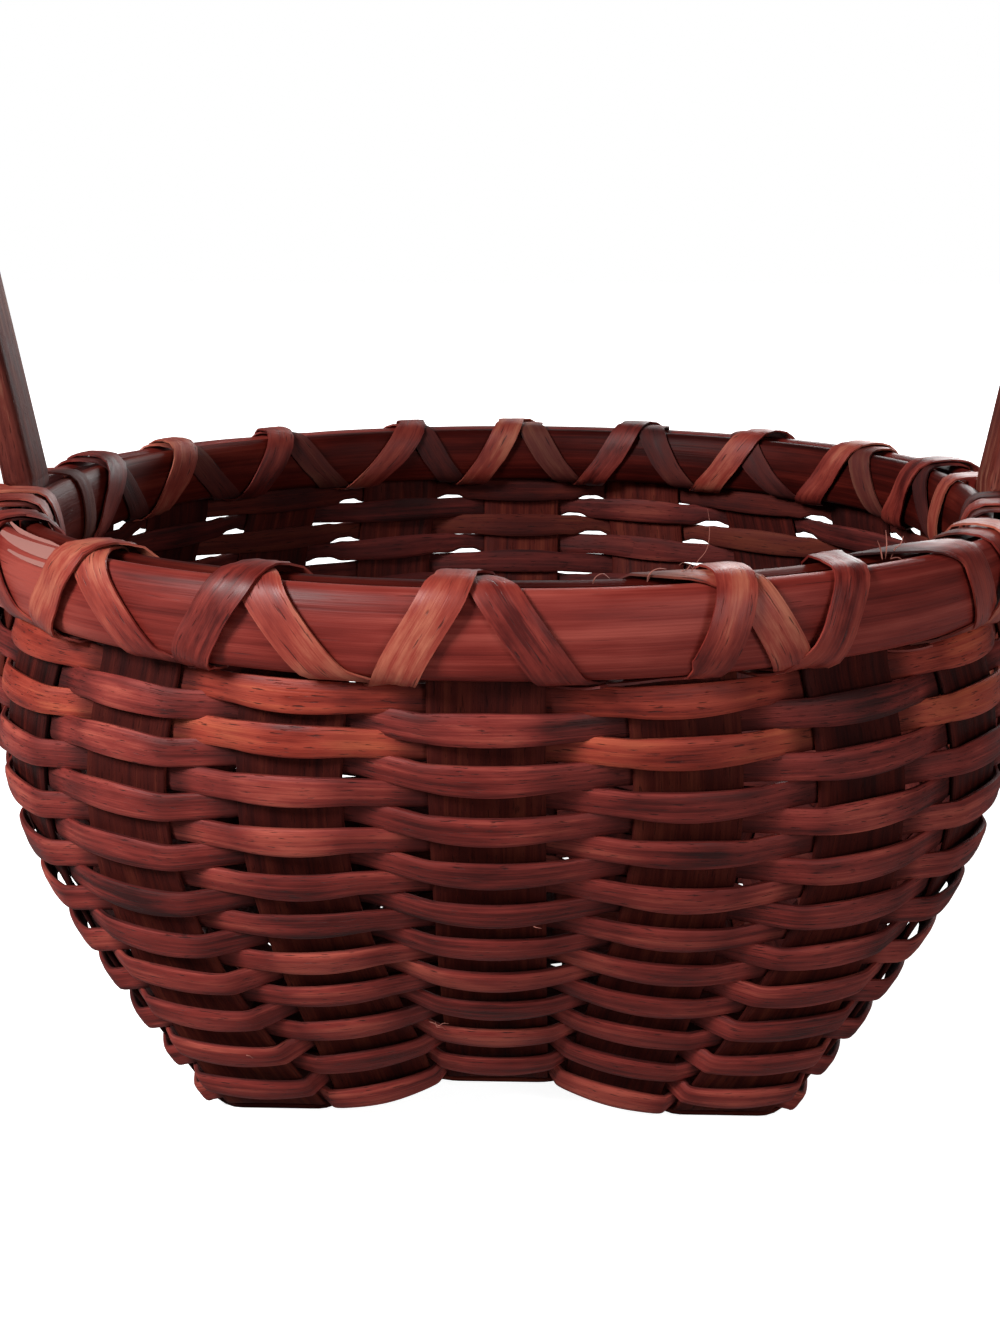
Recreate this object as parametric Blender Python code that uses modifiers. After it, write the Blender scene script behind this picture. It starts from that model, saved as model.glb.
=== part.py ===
# A splint berry basket: square lifted base, round double rim with crossed lashing, fixed hoop handle.
# Metres, +Z up. The origin is the centre of the plane it rests on, and the handle stands in the XZ plane.

from bisect import bisect_left
from math import atan2, ceil, cos, floor, hypot, pi, radians, sin, tan

import bmesh
import bpy
from mathutils import Matrix, Vector

# Wide splints that cross in the base and stand up as the stakes of the wall
SPLINT_WIDTH = 0.018
SPLINT_THICKNESS = 0.0009
BASE_SLOT = 0.0022
SPLINTS_EACH_WAY = 5
STAKE_DROP = 0.0015

# Shape of the base and the wall
KICK_UP = 0.006
RIM_RADIUS = 0.0943
BOWL_HEIGHT = 0.108
MIDDLE_FLARE_POWER = 1.12
CORNER_FLARE_POWER = 2.2
CORNER_REACH_POWER = 4
TURN_POWER = 1.85
SIDE_SWELL = 0.007
SWELL_POWER = 1.44
SWELL_SPREAD_SHARE = 0.75
PROFILE_SAMPLES = 120

# Narrow weavers, one to a row
WEAVER_WIDTH = 0.0041
WEAVER_THICKNESS = 0.0011
ROW_GAP = 0.0003
ROW_LAP = 0.013
CROWN_SHARE = 0.8
FACET_ROW_SHARES = (3, 1, 0.5)
LAP_STAKE_STEP = 5

# Rim hoops, one outside the stakes and one inside
RIM_HEIGHT = 0.014
RIM_THICKNESS = 0.0045
RIM_LAP = 0.035
RIM_TIP = 0.0008
RIM_STEPS = 60
RIM_SHOULDER_SHARE = 0.55
RIM_EDGE_HEIGHT_SHARE = 0.9
RIM_FACE_HEIGHT_SHARE = 0.5
OUTER_LAP_TURN_SHARE = 0.35
INNER_LAP_TURN_SHARE = 0.79

# Lashing strips, wound once round the rims each way
LASHING_WIDTH = 0.0063
LASHING_THICKNESS = 0.0005
LASHING_END_GAP = 0.0007
LEG_REACH_SHARE = 0.3
LEG_SPAN = 0.009
HANDLE_STEP_SHARE = 0.84

# Bent handle, thinned where the rims clamp it and again where it runs down inside the weave
HANDLE_HEIGHT = 0.28
LEG_LEAN = radians(10.5)
HANDLE_WIDTH = 0.013
HANDLE_THICKNESS = 0.006
HANDLE_EDGE = 0.0014
NECK_THICKNESS = 0.002
TAIL_THICKNESS = 0.0018
TAIL_TIP = 0.001
TAIL_LENGTH = 0.05
NOTCH_DEPTH = 0.002
ARC_STEPS = 21

# Edges that bend more than this stay sharp to the eye
CREASE_ANGLE = radians(35)

# Clearance left between pieces that touch on the real basket
SEAT_GAP = 0.0003

# Colours of the stained wood, as red, green and blue in linear light, and how dull it is
SPLINT_COLOUR = (0.090, 0.022, 0.017)
WEAVER_COLOUR = (0.155, 0.035, 0.027)
BRIGHT_WEAVER_COLOUR = (0.260, 0.058, 0.036)
RIM_COLOUR = (0.165, 0.036, 0.030)
LASHING_COLOUR = (0.270, 0.072, 0.052)
HANDLE_COLOUR = (0.085, 0.024, 0.018)
SPLINT_ROUGHNESS = 0.62
WEAVER_ROUGHNESS = 0.5
RIM_ROUGHNESS = 0.48
LASHING_ROUGHNESS = 0.45
HANDLE_ROUGHNESS = 0.55

# Places worked out from the sizes above
half_width = SPLINT_WIDTH / 2
half_count = (SPLINTS_EACH_WAY - 1) // 2
splint_pitch = SPLINT_WIDTH + BASE_SLOT
stake_count = 4 * SPLINTS_EACH_WAY
stake_angle = 2 * pi / stake_count
mat_half = half_count * splint_pitch + half_width
cross_step = (SPLINT_THICKNESS + SEAT_GAP) / 2
cross_reach = half_width + BASE_SLOT / 2 - cross_step
foot_height = SPLINT_THICKNESS + SEAT_GAP / 2
wall_start = foot_height + cross_step + SPLINT_THICKNESS / 2 + SEAT_GAP
weaver_offset = SPLINT_THICKNESS / 2 + SEAT_GAP + WEAVER_THICKNESS / 2
fold_half = mat_half + weaver_offset + WEAVER_THICKNESS / 2 + 2 * SEAT_GAP
rim_bottom = BOWL_HEIGHT - RIM_HEIGHT
lashing_room = 2 * (LASHING_THICKNESS + SEAT_GAP)
wall_top = rim_bottom - lashing_room - SEAT_GAP
facet_share = cos(pi / RIM_STEPS)
outer_hoop_radius = (hypot(RIM_RADIUS + SPLINT_THICKNESS / 2, half_width) + SEAT_GAP) / facet_share
inner_hoop_radius = RIM_RADIUS - SPLINT_THICKNESS / 2 - SEAT_GAP
neck_outer = RIM_RADIUS - SPLINT_THICKNESS / 2 - SEAT_GAP
neck_inner = neck_outer - NECK_THICKNESS
hoop_bulge = NECK_THICKNESS + SEAT_GAP


def clear_scene():
    for old in list(bpy.data.objects):
        bpy.data.objects.remove(old, do_unlink=True)


def add_collection(name):
    collection = bpy.data.collections.new(name)
    bpy.context.scene.collection.children.link(collection)
    return collection


def paint(piece, colour, roughness):
    material = bpy.data.materials.new(piece.name + "_stain")
    material.use_nodes = True
    shader = material.node_tree.nodes["Principled BSDF"]
    shader.inputs["Base Color"].default_value = (*colour, 1)
    shader.inputs["Roughness"].default_value = roughness
    shader.inputs["Metallic"].default_value = 0
    piece.data.materials.append(material)


def add_piece(name, shape, colour, roughness):
    mesh = bpy.data.meshes.new(name)
    shape.to_mesh(mesh)
    shape.free()
    mesh.shade_smooth()
    mesh.set_sharp_from_angle(angle=CREASE_ANGLE)
    piece = bpy.data.objects.new(name, mesh)
    basket.objects.link(piece)
    piece.parent = base_point
    paint(piece, colour, roughness)
    return piece


def loft(sections):
    # A closed skin over cross-sections that all have the same number of corners
    shape = bmesh.new()
    rings = [[shape.verts.new(corner) for corner in section] for section in sections]
    for ring, following in zip(rings, rings[1:]):
        for here in range(len(ring)):
            beside = (here + 1) % len(ring)
            shape.faces.new((ring[here], ring[beside], following[beside], following[here]))
    shape.faces.new(list(reversed(rings[0])))
    shape.faces.new(rings[-1])
    bmesh.ops.recalc_face_normals(shape, faces=shape.faces)
    return shape


def blend(start, end, share):
    return start + (end - start) * share


def offset_line(points, distance):
    # Moves an outline sideways by the same distance everywhere, with mitred corners, to its left
    moved = []
    for index, point in enumerate(points):
        before = (point - points[index - 1]).normalized() if index else None
        after = (points[index + 1] - point).normalized() if index + 1 < len(points) else None
        before = before or after
        after = after or before
        side = Vector((-before.y, before.x)) + Vector((-after.y, after.x))
        side.normalize()
        moved.append(point + side * distance / side.dot(Vector((-after.y, after.x))))
    return moved


# The base and the stakes

def kick(across):
    # Share of the lift left at this distance from the middle line: all of it inside, none at a foot
    inner = cross_reach
    outer = half_count * splint_pitch - cross_reach
    return min(1, max(0, (outer - abs(across)) / (outer - inner)))


def mat_height(x, y):
    return foot_height + KICK_UP * (kick(x) + kick(y))


def flare(place, climb):
    # How far a stake has moved out from the fold to the rim, sooner at a corner than mid-side
    corner = abs(place / half_count) ** CORNER_REACH_POWER
    middle_rise = sin(climb * pi / 2) ** MIDDLE_FLARE_POWER
    corner_rise = 1 - (1 - climb) ** CORNER_FLARE_POWER
    return blend(middle_rise, corner_rise, corner)


def wall_height(climb, across):
    return wall_start + KICK_UP * kick(across) * (1 - climb) + (wall_top - wall_start) * climb


def stake_edges(place, climb):
    # Left and right edge of a stake at one height, seen from outside, as across, outward and up
    fold_radius = hypot(place * splint_pitch, fold_half)
    fold_angle = atan2(place * splint_pitch, fold_half)
    radius = blend(fold_radius, RIM_RADIUS, flare(place, climb))
    angle = blend(fold_angle, place * stake_angle, flare(place, climb))
    turn = place * stake_angle * (1 - (1 - climb) ** TURN_POWER)
    low = wall_height(climb, place * splint_pitch - half_width)
    high = wall_height(climb, place * splint_pitch + half_width)
    level_half = (half_width ** 2 - ((high - low) / 2) ** 2) ** 0.5
    middle = Vector((radius * sin(angle), radius * cos(angle), 0))
    along = Vector((cos(turn), -sin(turn), 0)) * level_half
    return middle - along + Vector((0, 0, low)), middle + along + Vector((0, 0, high))


def middle_of(edges):
    return (edges[0] + edges[1]) / 2


def swell(climb):
    # How far the walls below the handle's feet belly out
    return SIDE_SWELL * sin(pi * climb ** SWELL_POWER)


def measure_middle_stake():
    # Lengths up the middle stake of a side, from the fold to the top of the weave
    climbs = [sample / PROFILE_SAMPLES for sample in range(PROFILE_SAMPLES + 1)]
    points = [middle_of(stake_edges(0, climb)) for climb in climbs]
    lengths = [0]
    for low, high in zip(points, points[1:]):
        lengths.append(lengths[-1] + (high - low).length)
    return climbs, lengths


climb_samples, run_samples = measure_middle_stake()
row_count = floor(run_samples[-1] / (WEAVER_WIDTH + ROW_GAP))


def climb_at(level):
    # The climb where a share of the middle stake's length lies below
    run = level * run_samples[-1]
    upper = min(max(bisect_left(run_samples, run), 1), PROFILE_SAMPLES)
    share = (run - run_samples[upper - 1]) / (run_samples[upper] - run_samples[upper - 1])
    return blend(climb_samples[upper - 1], climb_samples[upper], share)


def facet_levels(place):
    # Stakes nearer a corner turn more on their way up, so they are cut into shorter facets
    step = FACET_ROW_SHARES[abs(place)] / row_count
    return [index * step for index in range(ceil(1 / step))] + [1]


def turned(side, point):
    # From a side's own across, outward and up to the basket's axes; side 0 is the front
    placed = Vector((point.x, -point.y, point.z))
    return Matrix.Rotation(side * pi / 2, 3, "Z") @ placed


def stake_line(side, place):
    # Both edges of a stake, facet by facet, from the fold to the top of the weave
    line = []
    for level in facet_levels(place):
        climb = climb_at(level)
        edges = [turned(side, edge) for edge in stake_edges(place, climb)]
        reach = middle_of(edges).x / (RIM_RADIUS * SWELL_SPREAD_SHARE)
        shift = Vector((max(-1, min(1, reach)) * swell(climb), 0, 0))
        line.append((edges[0] + shift, edges[1] + shift))
    return line


def stake_top(edges):
    rise = Vector((0, 0, BOWL_HEIGHT - STAKE_DROP - edges[0].z))
    return edges[0] + rise, edges[1] + rise


def flipped(line):
    return [(right, left) for left, right in line]


def mat_line(crosswise, place):
    # Over and under the five splints of the other way, as pairs of edges from the low end to the high
    line = []
    for other in range(-half_count, half_count + 1):
        lengthwise_below = (place + other) % 2 == 0
        lift = cross_step if lengthwise_below == crosswise else -cross_step
        for reach in (-cross_reach, cross_reach):
            along = other * splint_pitch + reach
            pair = []
            for edge in (-half_width, half_width):
                across = place * splint_pitch + edge
                x, y = (across, along) if crosswise else (along, across)
                pair.append(Vector((x, y, mat_height(x, y) + lift)))
            line.append(tuple(pair))
    return line


def add_splint(name, crosswise, place):
    # One strip: up one wall from its top, across the mat and up the opposite wall
    low_side, high_side = (0, 2) if crosswise else (3, 1)
    low_place, high_place = (place, -place) if crosswise else (-place, place)
    low_wall = stake_line(low_side, low_place)
    high_wall = stake_line(high_side, high_place)
    for wall in (low_wall, high_wall):
        wall.append(stake_top(wall[-1]))
    if crosswise:
        high_wall = flipped(high_wall)
    else:
        low_wall = flipped(low_wall)
    line = list(reversed(low_wall)) + mat_line(crosswise, place) + high_wall
    shape = bmesh.new()
    rows = [[shape.verts.new(point) for point in pair] for pair in line]
    for row, following in zip(rows, rows[1:]):
        shape.faces.new((row[0], row[1], following[1], following[0]))
    splint = add_piece(name, shape, SPLINT_COLOUR, SPLINT_ROUGHNESS)
    skin = splint.modifiers.new("Thickness", "SOLIDIFY")
    skin.thickness = SPLINT_THICKNESS
    skin.offset = 0
    skin.use_even_offset = True
    return splint


# The weavers

def stake_facet(stake, level):
    # Both edges of a stake at a level, and the way each edge climbs in the facet there
    levels = facet_levels(stake % SPLINTS_EACH_WAY - half_count)
    upper = min(max(bisect_left(levels, level), 1), len(levels) - 1)
    share = (level - levels[upper - 1]) / (levels[upper] - levels[upper - 1])
    below, above = stake_lines[stake][upper - 1:upper + 1]
    edges = [blend(low, high, share) for low, high in zip(below, above)]
    return edges, [high - low for low, high in zip(below, above)]


def stake_point(facet, place, offset):
    # A point beside a stake's facet, with the way up there; place runs from its middle line
    (left, right), climbs = facet
    across = (right - left).normalized()
    share = place / SPLINT_WIDTH + 0.5
    climb = blend(climbs[0], climbs[1], share)
    outward = across.cross(climb).normalized()
    up = climb / climb.dot(outward.cross(across))
    return blend(left, right, share) + outward * offset, up


def lap_layers(half, tip, thickness):
    # Layers left of a strip near its two ends, as place, underside and top; the ends lie on each other
    start = [(-half, thickness - tip, thickness)]
    start.append((half + SEAT_GAP, tip + SEAT_GAP, thickness))
    start.append((half + 2 * SEAT_GAP, 0, thickness))
    end = [(-half - 2 * SEAT_GAP, 0, thickness)]
    end.append((-half - SEAT_GAP, 0, thickness - tip - SEAT_GAP))
    end.append((half, 0, tip))
    return start, end


def runs_over(stake, row):
    return (stake + row) % 2 == 0


def tail_cover(stake, level):
    # Extra room that a weaver needs to pass inside the handle's tail
    on_handle = stake % (2 * SPLINTS_EACH_WAY) == handle_stake
    covered = on_handle and level > tail_level - 1 / row_count
    return TAIL_THICKNESS + SEAT_GAP if covered else 0


def weaver_stations(row):
    # Point, way up and layer of each station, from the lap once round to the lap
    level = (row - 0.5) / row_count
    lap_stake = (LAP_STAKE_STEP * row + 1) % stake_count
    reach = half_width + WEAVER_THICKNESS / 2
    tip = (WEAVER_THICKNESS - SEAT_GAP) / 2
    start, end = lap_layers(ROW_LAP / 2, tip, WEAVER_THICKNESS)
    full = (0, WEAVER_THICKNESS)
    stations = []
    for step in range(stake_count + 1):
        stake = (lap_stake + step) % stake_count
        facet = stake_facet(stake, level)
        offset = weaver_offset if runs_over(stake, row) else -weaver_offset - tail_cover(stake, level)
        places = [(-reach, *full), (reach, *full)]
        if step == 0:
            places = start + places[1:]
        if step == stake_count:
            places = places[:1] + end
        for place, low, high in places:
            stations.append((*stake_point(facet, place, offset), low, high))
    return stations


def add_weaver(row):
    stations = weaver_stations(row)
    sections = []
    for index, (point, up, low, high) in enumerate(stations):
        before = stations[max(index - 1, 0)][0]
        after = stations[min(index + 1, len(stations) - 1)][0]
        normal_in = (point - before).cross(up) if index else (after - point).cross(up)
        normal_out = (after - point).cross(up) if index + 1 < len(stations) else normal_in
        normal_in.normalize()
        normal_out.normalize()
        mitre = (normal_in + normal_out).normalized()
        mitre /= mitre.dot(normal_in)
        corners = []
        for depth, ends in ((low, (-1, 1)), (high, (1, -1))):
            width = blend(WEAVER_WIDTH, WEAVER_WIDTH * CROWN_SHARE, depth / WEAVER_THICKNESS)
            for end in ends:
                corners.append(point + mitre * (depth - WEAVER_THICKNESS / 2) + up * end * width / 2)
        sections.append(corners)
    bright = row in (row_count, row_count - 2)
    colour = BRIGHT_WEAVER_COLOUR if bright else WEAVER_COLOUR
    return add_piece(f"weaver_row_{row:02d}", loft(sections), colour, WEAVER_ROUGHNESS)


# The rims

def bulge_at(angle):
    # Inward swell of the inner hoop over the handle's neck, with its corners on the hoop's own facets
    step = 2 * pi / RIM_STEPS
    away = min(abs((angle + pi / 2) % pi - pi / 2), pi / 2)
    return hoop_bulge * min(1, max(0, (5 * step - away) / (4 * step)))


def hoop_half_height(depth):
    share = depth / RIM_THICKNESS
    if share < RIM_SHOULDER_SHARE:
        height_share = blend(RIM_EDGE_HEIGHT_SHARE, 1, share / RIM_SHOULDER_SHARE)
    else:
        past = (share - RIM_SHOULDER_SHARE) / (1 - RIM_SHOULDER_SHARE)
        height_share = blend(1, RIM_FACE_HEIGHT_SHARE, past)
    return height_share * RIM_HEIGHT / 2


def hoop_section(angle, low, high, inner):
    # A half-round hoop's section at an angle, or the layer of it that is left near an end
    shoulder = RIM_THICKNESS * RIM_SHOULDER_SHARE
    middle = shoulder if low < shoulder < high else (low + high) / 2
    bottom, top = [], []
    for depth in (low, middle, high):
        if inner:
            radius = inner_hoop_radius - bulge_at(angle) - depth
        else:
            radius = outer_hoop_radius + depth
        height = hoop_half_height(depth)
        for side, line in ((-1, bottom), (1, top)):
            up = rim_bottom + RIM_HEIGHT / 2 + side * height
            line.append(Vector((radius * cos(angle), radius * sin(angle), up)))
    return bottom + list(reversed(top))


def layer_at(layers, place):
    # Reads a layer between the listed places of a lap
    for (start, low, high), (end, next_low, next_high) in zip(layers, layers[1:]):
        if start <= place <= end:
            share = (place - start) / (end - start)
            return blend(low, next_low, share), blend(high, next_high, share)
    return 0, RIM_THICKNESS


def add_rim(name, inner, lap_turn_share):
    radius = inner_hoop_radius if inner else outer_hoop_radius
    start, end = lap_layers(RIM_LAP / 2, RIM_TIP, RIM_THICKNESS)
    around = 2 * pi * radius
    end = [(place + around, low, high) for place, low, high in end]
    lap_place = around * lap_turn_share
    places = [place for place, low, high in start + end]
    for step in range(2 * RIM_STEPS):
        corner = around * step / RIM_STEPS - lap_place
        clear = min(abs(corner - place) for place in places)
        if places[0] < corner < end[-1][0] and clear > SEAT_GAP:
            places.append(corner)
    sections = []
    for place in sorted(places):
        low, high = layer_at(start if place < around / 2 else end, place)
        sections.append(hoop_section((place + lap_place) / radius, low, high, inner))
    return add_piece(name, loft(sections), RIM_COLOUR, RIM_ROUGHNESS)


# The lashing

def lashing_outline(distance):
    # The way round both hoops at a distance from them: outside bottom to top, then inside top to bottom
    shoulder = RIM_THICKNESS * RIM_SHOULDER_SHARE
    inner_face = (inner_hoop_radius - RIM_THICKNESS) * facet_share
    inner_shoulder = (inner_hoop_radius - shoulder) * facet_share
    centre = rim_bottom + RIM_HEIGHT / 2
    outer_side = [(outer_hoop_radius + shoulder, -hoop_half_height(shoulder))]
    outer_side.append((outer_hoop_radius + RIM_THICKNESS, -hoop_half_height(RIM_THICKNESS)))
    outer_side.append((outer_hoop_radius + RIM_THICKNESS, hoop_half_height(RIM_THICKNESS)))
    outer_side.append((outer_hoop_radius + shoulder, hoop_half_height(shoulder)))
    inner_side = [(inner_shoulder, hoop_half_height(shoulder))]
    inner_side.append((inner_face, hoop_half_height(RIM_THICKNESS)))
    inner_side.append((inner_face, -hoop_half_height(RIM_THICKNESS)))
    inner_side.append((inner_shoulder, -hoop_half_height(shoulder)))
    points = [Vector((radius, centre + up)) for radius, up in outer_side + inner_side]
    closed = [points[-1]] + points + [points[0]]
    return offset_line(closed, -distance)[1:-1]


def lashing_edge(outline, corner, share, angle, rise):
    # A point of the strip's edge, on an outline corner or part of the way on to the next one
    radius, up = outline[corner].lerp(outline[(corner + 1) % len(outline)], share)
    radius += rise
    if corner > 3:
        radius -= bulge_at(angle)
    return Vector((radius * cos(angle), radius * sin(angle), up))


def lashing_turns(direction, first_gap):
    # Corner, share of the way on, angle, half width and stand-off of each station, one turn to a stake
    slot = 2 * RIM_RADIUS * sin(stake_angle / 2) - SPLINT_WIDTH
    half = LASHING_WIDTH / 2
    outer_foot_half = min(LASHING_WIDTH, slot / 2 - 2 * SEAT_GAP) / 2
    inner_foot_half = min(LASHING_WIDTH, slot - 2 * SEAT_GAP) / 2
    foot_shift = direction * (outer_foot_half + SEAT_GAP) / RIM_RADIUS
    stations = []
    for turn in range(stake_count):
        below = first_gap + direction * turn * stake_angle
        beyond = below + direction * stake_angle
        above = (below + beyond) / 2
        at_handle = round(above / stake_angle) % (stake_count // 2) == 0
        if at_handle:
            above += direction * HANDLE_STEP_SHARE * stake_angle / 2
        outer_leg = (0, below + foot_shift, above, outer_foot_half, half)
        inner_leg = (4, above, beyond, half, inner_foot_half)
        for corner, start, end, start_half, end_half in (outer_leg, inner_leg):
            travel = abs(end - start) * RIM_RADIUS
            leaning_half = half * hypot(RIM_HEIGHT, travel) / RIM_HEIGHT
            rise = outer_hoop_radius - (outer_hoop_radius ** 2 - leaning_half ** 2) ** 0.5
            rise *= at_handle and corner == 0
            stations.append((corner, 0, start, start_half, 0))
            face_steps = max(1, round(travel / LEG_SPAN))
            for step in range(face_steps + 1):
                share = step / face_steps
                angle = blend(start, end, blend(LEG_REACH_SHARE, 1 - LEG_REACH_SHARE, share))
                stations.append((corner + 1, share, angle, leaning_half, rise))
            stations.append((corner + 3, 0, end, end_half, 0))
    return stations


def lashing_sections(direction, first_gap, distance):
    near = lashing_outline(distance)
    far = lashing_outline(distance + LASHING_THICKNESS)
    sections = []
    for corner, share, angle, half, rise in lashing_turns(direction, first_gap):
        swing = half / near[corner][0]
        if direction > 0:
            rise += rise
        section = []
        for outline, ends in ((near, (-1, 1)), (far, (1, -1))):
            section += [lashing_edge(outline, corner, share, angle + end * swing, rise) for end in ends]
        sections.append(section)
    start, end = [], []
    for last, first in zip(sections[-1], sections[0]):
        middle = (last + first) / 2
        gap = (first - last).normalized() * LASHING_END_GAP / 2
        start.append(middle + gap)
        end.append(middle - gap)
    return [start] + sections + [end]


def least_gap(sections):
    # Shortest distance between stations that lie at least half a turn apart along the strip
    closest = BOWL_HEIGHT
    for here in range(len(sections)):
        for there in range(here + 4, len(sections)):
            if (sections[here][0] - sections[there][0]).length > 2 * RIM_HEIGHT:
                continue
            for corner in sections[here]:
                for other in sections[there]:
                    closest = min(closest, (corner - other).length)
    return closest


def add_lashing(name, direction, first_gap, distance):
    sections = lashing_sections(direction, first_gap, distance)
    print(name, "least gap to itself in mm:", round(1000 * least_gap(sections), 2))
    return add_piece(name, loft(sections), LASHING_COLOUR, LASHING_ROUGHNESS)


# The handle

def handle_section(inner, outer, side):
    # Eight corners of a flat strip with eased edges, between its inner and outer face
    ease = min(HANDLE_EDGE, (outer - inner).length / 4)
    through = (outer - inner).normalized() * ease
    half = HANDLE_WIDTH / 2
    corners = []
    for face, step in ((inner, through), (outer, -through)):
        lines = [(face, half - ease), (face + step, half)]
        if face is outer:
            lines.reverse()
        for point, width in lines:
            corners.append((point, width))
    loop = [Vector((side * point.x, width, point.y)) for point, width in corners]
    loop += [Vector((side * point.x, -width, point.y)) for point, width in reversed(corners)]
    return loop


def tail_faces():
    # Inner and outer face of the tail, from its tip up to the top of the weave
    levels = [level for level in facet_levels(0) if level > tail_level]
    line = []
    for level in [tail_level] + levels:
        point, up = stake_point(stake_facet(handle_stake, level), 0, 0)
        line.append(Vector((point.x, point.z)))
    line.append(Vector((RIM_RADIUS, rim_bottom)))
    seat = SPLINT_THICKNESS / 2 + SEAT_GAP
    outer = offset_line(line, seat)[:-1]
    inner = offset_line(line, seat + TAIL_THICKNESS)[:-1]
    inner[0] = blend(outer[0], inner[0], TAIL_TIP / TAIL_THICKNESS)
    return list(zip(inner, outer))


def leg_faces():
    # The neck between the rims and the notch that seats the full handle on the outer rim
    seat = BOWL_HEIGHT + SEAT_GAP
    faces = [(Vector((neck_inner, rim_bottom)), Vector((neck_outer, rim_bottom)))]
    faces.append((Vector((neck_inner, seat - NOTCH_DEPTH)), Vector((neck_outer, seat))))
    shoulder = Vector((neck_inner + HANDLE_THICKNESS, seat))
    faces.append((Vector((neck_inner, seat + NOTCH_DEPTH)), shoulder))
    return faces


def arc_faces():
    # The bow: the arc that both leaning legs run into without a kink, its top facet at the full height
    foot = Vector((neck_inner + HANDLE_THICKNESS / 2, BOWL_HEIGHT + SEAT_GAP + NOTCH_DEPTH))
    top_share = cos((pi / 2 + LEG_LEAN) / ARC_STEPS)
    rise = HANDLE_HEIGHT - foot.y - HANDLE_THICKNESS / 2 * top_share
    radius = (foot.x + rise * tan(LEG_LEAN)) / (1 / cos(LEG_LEAN) + top_share * tan(LEG_LEAN))
    centre = Vector((0, HANDLE_HEIGHT - (radius + HANDLE_THICKNESS / 2) * top_share))
    faces = []
    for step in range(ARC_STEPS + 1):
        angle = blend(-LEG_LEAN, pi + LEG_LEAN, step / ARC_STEPS)
        direction = Vector((cos(angle), sin(angle)))
        half = direction * HANDLE_THICKNESS / 2
        point = centre + direction * radius
        faces.append((point - half, point + half))
    return faces


def add_handle():
    leg = tail_faces() + leg_faces()
    sections = [handle_section(inner, outer, 1) for inner, outer in leg + arc_faces()]
    sections += [handle_section(inner, outer, -1) for inner, outer in reversed(leg)]
    return add_piece("handle", loft(sections), HANDLE_COLOUR, HANDLE_ROUGHNESS)


clear_scene()
basket = add_collection("berry_basket")
base_point = bpy.data.objects.new("basket_base_point", None)
basket.objects.link(base_point)

tail_level = 1 - TAIL_LENGTH / run_samples[-1]
handle_stake = SPLINTS_EACH_WAY + half_count
places = range(-half_count, half_count + 1)
stake_lines = [stake_line(side, place) for side in range(4) for place in places]

for place in places:
    add_splint(f"splint_lengthwise_{place + half_count + 1}", False, place)
for place in places:
    add_splint(f"splint_crosswise_{place + half_count + 1}", True, place)
for number in range(row_count):
    add_weaver(number + 1)
add_rim("rim_outer", False, OUTER_LAP_TURN_SHARE)
add_rim("rim_inner", True, INNER_LAP_TURN_SHARE)
add_handle()
add_lashing("lashing_backward", -1, stake_angle / 2, SEAT_GAP)
add_lashing("lashing_forward", 1, -stake_angle / 2, 2 * SEAT_GAP + LASHING_THICKNESS)
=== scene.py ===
import random
from math import atan2, copysign, cos, degrees, exp, hypot, pi, radians, sin, sqrt, tan

import bmesh
import bpy
from mathutils import Matrix, Vector


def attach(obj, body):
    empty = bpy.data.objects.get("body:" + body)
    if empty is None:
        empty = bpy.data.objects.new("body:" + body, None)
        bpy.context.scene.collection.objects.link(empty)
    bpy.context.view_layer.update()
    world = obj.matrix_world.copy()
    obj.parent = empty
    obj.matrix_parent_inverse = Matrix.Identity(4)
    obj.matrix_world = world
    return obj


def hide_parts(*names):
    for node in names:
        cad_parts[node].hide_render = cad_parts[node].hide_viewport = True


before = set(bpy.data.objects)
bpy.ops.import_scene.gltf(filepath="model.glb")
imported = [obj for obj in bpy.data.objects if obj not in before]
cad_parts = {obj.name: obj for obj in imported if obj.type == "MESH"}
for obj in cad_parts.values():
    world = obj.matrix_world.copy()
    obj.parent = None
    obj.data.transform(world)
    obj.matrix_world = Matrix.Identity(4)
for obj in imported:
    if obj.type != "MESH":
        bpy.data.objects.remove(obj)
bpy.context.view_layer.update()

mm = 0.001
tau = 2 * pi

# The layout that every woven piece follows, the same as the solids' own, in metres
layout = {
    "splintWidth": 18 * mm, "splintThickness": 0.9 * mm,
    "pitch": 20.2 * mm,  # from splint to splint in the base
    "kickUp": 6 * mm,  # how far the middle of the base is lifted
    "kickInner": 9.5 * mm, "kickOuter": 30.9 * mm,
    "footHeight": 1.05 * mm, "crossStep": 0.6 * mm,
    "foldHalf": 51.85 * mm,  # from the middle to where the stakes turn up
    "rimRadius": 94.3 * mm, "wallStart": 2.4 * mm, "wallTop": 92.1 * mm,
    "middlePower": 1.12,  # how the walls flare at the middle of a side and at its corners
    "cornerPower": 2.2, "cornerReach": 4, "turnPower": 1.85,
    "swell": 7 * mm,  # how far the side walls swell out
    "swellPower": 1.44, "swellSpread": 70.725 * mm,
    "rows": 21,
    "tailLevel": 0.4775,  # where the handle's tails end in the wall
    "backFrom": 0.15, "backSpread": 0.5,  # where the back begins and how soon it is the full back
    "samples": 240, "levelStep": 0.01,
}
perSide = 5
outerPlace = perSide // 2
stakes = 4 * perSide
stakeStep = tau / stakes
rightStake = 7  # the middle stakes of the side walls hold the handle
handleStakes = (rightStake, rightStake + stakes // 2)
frontStake = 15  # counted from the right side, as the lashing's turns are


def mix(a, b, share):
    return a + (b - a) * share


def clamp(value, low=0, high=1):
    return min(high, max(low, value))


def smooth(share):
    share = clamp(share)
    return share * share * (3 - 2 * share)


def shares(count):
    # Even steps from 0 to just short of 1
    return [step / count for step in range(count)]


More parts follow.
